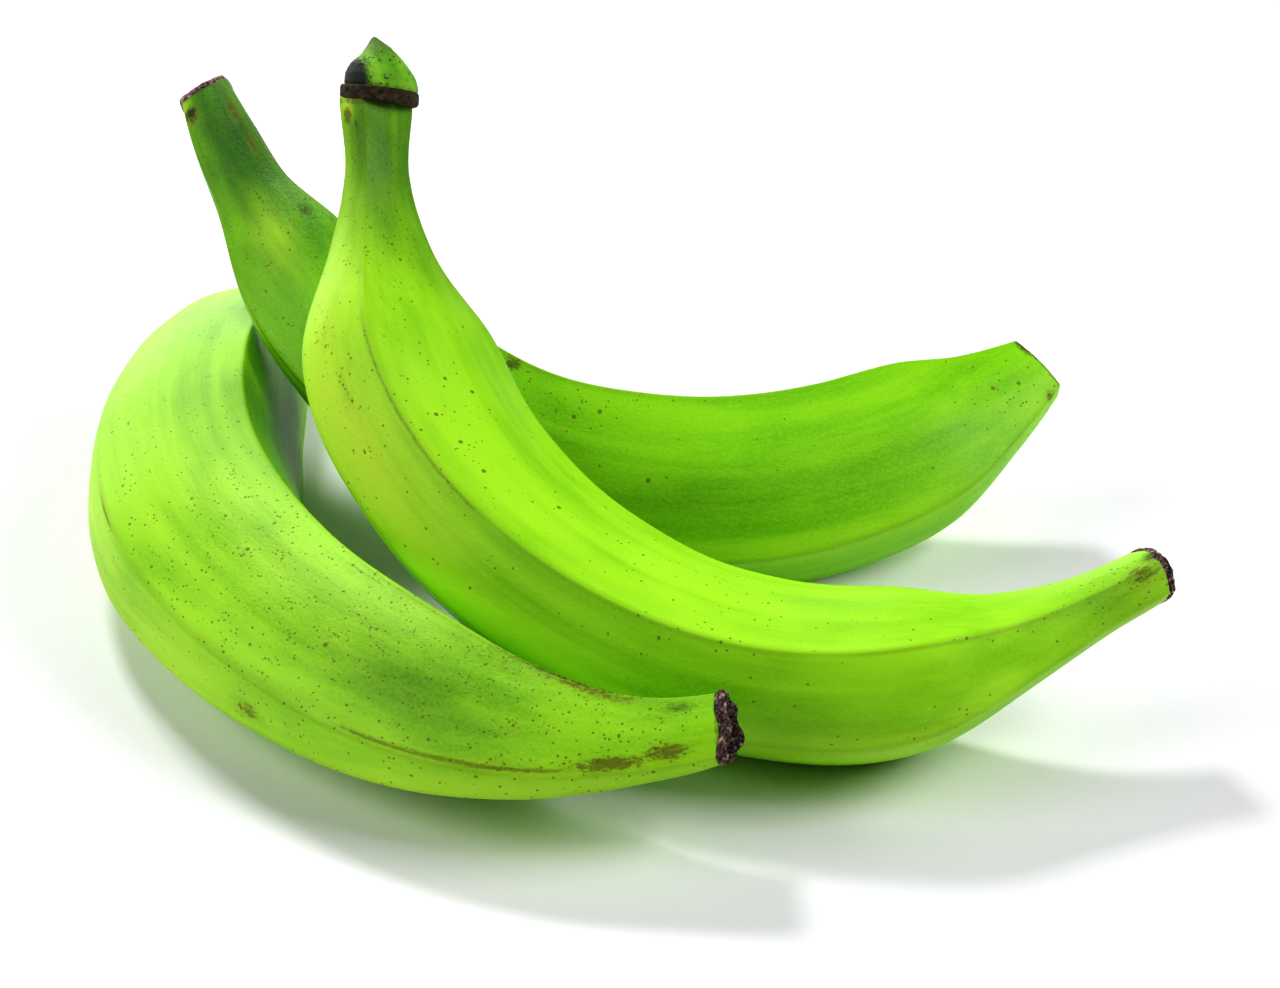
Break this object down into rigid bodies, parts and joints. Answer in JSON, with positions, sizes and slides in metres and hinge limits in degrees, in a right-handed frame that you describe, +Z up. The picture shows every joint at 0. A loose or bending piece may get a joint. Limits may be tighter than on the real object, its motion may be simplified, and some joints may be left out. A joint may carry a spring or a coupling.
{
  "type": "bunch of green plantains",
  "caption": "Loose green plantains heaped together: curved, blunt-ridged fruits with cut stems and dry flower ends, resting on a flat surface.",
  "frame": {"origin": "on the surface that the fruits rest on, under the middle of the heap's bounding box", "axes": "+Z up; +X to the viewer's right and +Y away from the viewer when the heap is seen from its front, where the front fruit's dry flower end points right"},
  "size_m": [0.2514, 0.254, 0.1235],
  "materials": {
    "peel": "satin",
    "dry_ends": "matte"
  },
  "bodies": {
    "root": {"plantain_front": "peel", "plantain_back": "peel", "plantain_middle": "peel"}
  },
  "joints": []
}
